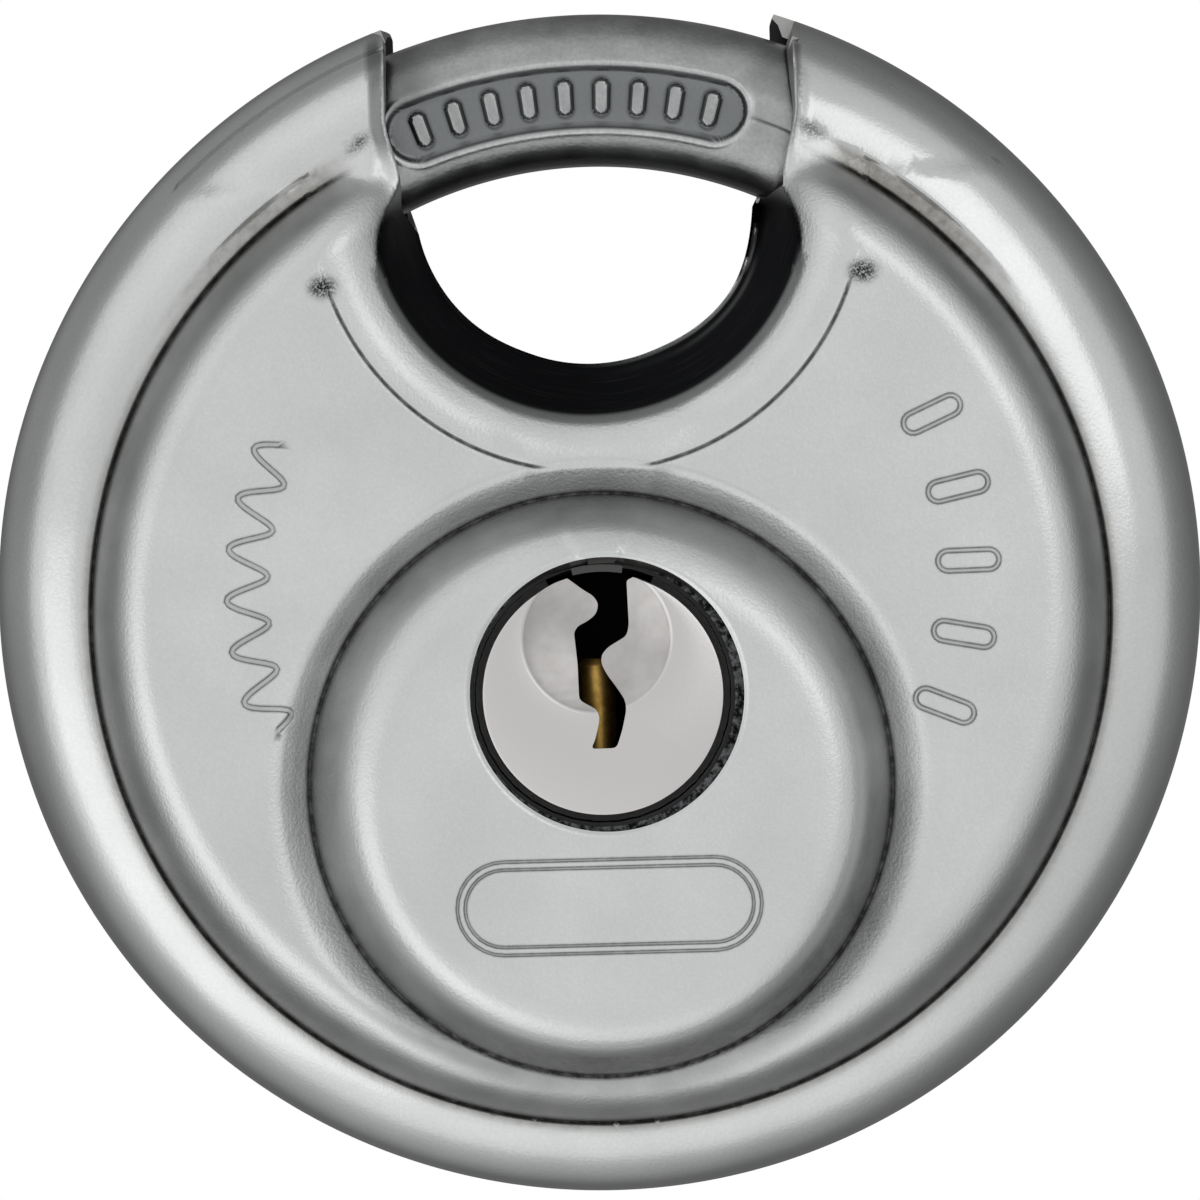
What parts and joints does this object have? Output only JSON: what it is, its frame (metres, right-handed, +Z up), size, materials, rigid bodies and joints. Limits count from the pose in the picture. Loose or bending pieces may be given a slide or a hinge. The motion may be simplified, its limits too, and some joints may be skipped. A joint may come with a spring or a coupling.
{
  "type": "disc padlock",
  "caption": "Round steel padlock whose short curved shackle slides round inside the rim, with a small window at the top and an off-centre keyed cylinder on the front.",
  "frame": {"origin": "top of the window: the innermost point of the shackle's bar, halfway through the lock, where it hangs on a staple", "axes": "+Z up from the disc's middle towards the shackle, +Y through the lock from its keyed front to its plain back, +X to the right seen from the front"},
  "size_m": [0.05, 0.0179, 0.0489],
  "materials": {
    "stainless_sheet": "satin, fine bead-blasted faces with a polished rim",
    "stainless_bar": "dull grey, sanded across the bar",
    "satin_nickel": "fine satin nickel plate",
    "brass": "as turned",
    "zinc_casting": "matt zinc casting",
    "hardened_steel": "black hardened steel",
    "spring_steel": "bright wire"
  },
  "bodies": {
    "case": {"front_shell": "stainless_sheet", "rear_shell": "stainless_sheet", "guide_frame": "zinc_casting", "cylinder_housing": "brass", "anti_drill_plate": "hardened_steel", "chamber_cover": "brass", "pin_spring_1": "spring_steel", "pin_spring_2": "spring_steel", "pin_spring_3": "spring_steel", "pin_spring_4": "spring_steel", "pin_spring_5": "spring_steel"},
    "shackle": {"shackle": "stainless_bar"},
    "plug": {"plug": "satin_nickel", "plug_clip": "spring_steel", "driver_cam": "hardened_steel", "drive_stud": "hardened_steel"},
    "key_pin_1": {"key_pin_1": "brass"},
    "driver_pin_1": {"driver_pin_1": "brass"},
    "key_pin_2": {"key_pin_2": "brass"},
    "driver_pin_2": {"driver_pin_2": "brass"},
    "key_pin_3": {"key_pin_3": "brass"},
    "driver_pin_3": {"driver_pin_3": "brass"},
    "key_pin_4": {"key_pin_4": "brass"},
    "driver_pin_4": {"driver_pin_4": "brass"},
    "key_pin_5": {"key_pin_5": "brass"},
    "driver_pin_5": {"driver_pin_5": "brass"}
  },
  "joints": [
    {"name": "shackle_turn", "type": "hinge", "parent": "case", "child": "shackle", "pos_m": [0, 0, -0.01758], "axis": [0, 1, 0], "range_deg": [0, 58]},
    {"name": "plug_turn", "type": "hinge", "parent": "case", "child": "plug", "pos_m": [0, 0, -0.02193], "axis": [0, 1, 0], "range_deg": [0, 76.4]},
    {"name": "key_pin_1_slide", "type": "slide", "parent": "plug", "child": "key_pin_1", "axis": [0, 0, 1], "range_m": [0, 0.0012]},
    {"name": "driver_pin_1_slide", "type": "slide", "parent": "case", "child": "driver_pin_1", "axis": [0, 0, 1], "range_m": [-0.0015, 0], "stiffness_N_per_m": 250, "springref_m": 0.0005, "deforming": ["pin_spring_1"]},
    {"name": "key_pin_2_slide", "type": "slide", "parent": "plug", "child": "key_pin_2", "axis": [0, 0, 1], "range_m": [0, 0.0012]},
    {"name": "driver_pin_2_slide", "type": "slide", "parent": "case", "child": "driver_pin_2", "axis": [0, 0, 1], "range_m": [-0.0015, 0], "stiffness_N_per_m": 250, "springref_m": 0.0005, "deforming": ["pin_spring_2"]},
    {"name": "key_pin_3_slide", "type": "slide", "parent": "plug", "child": "key_pin_3", "axis": [0, 0, 1], "range_m": [0, 0.0012]},
    {"name": "driver_pin_3_slide", "type": "slide", "parent": "case", "child": "driver_pin_3", "axis": [0, 0, 1], "range_m": [-0.0015, 0], "stiffness_N_per_m": 250, "springref_m": 0.0005, "deforming": ["pin_spring_3"]},
    {"name": "key_pin_4_slide", "type": "slide", "parent": "plug", "child": "key_pin_4", "axis": [0, 0, 1], "range_m": [0, 0.0012]},
    {"name": "driver_pin_4_slide", "type": "slide", "parent": "case", "child": "driver_pin_4", "axis": [0, 0, 1], "range_m": [-0.0015, 0], "stiffness_N_per_m": 250, "springref_m": 0.0005, "deforming": ["pin_spring_4"]},
    {"name": "key_pin_5_slide", "type": "slide", "parent": "plug", "child": "key_pin_5", "axis": [0, 0, 1], "range_m": [0, 0.0012]},
    {"name": "driver_pin_5_slide", "type": "slide", "parent": "case", "child": "driver_pin_5", "axis": [0, 0, 1], "range_m": [-0.0015, 0], "stiffness_N_per_m": 250, "springref_m": 0.0005, "deforming": ["pin_spring_5"]}
  ],
  "couplings": [
    {"joint": "plug_turn", "follows": "shackle_turn", "ratio": 1.3152}
  ]
}
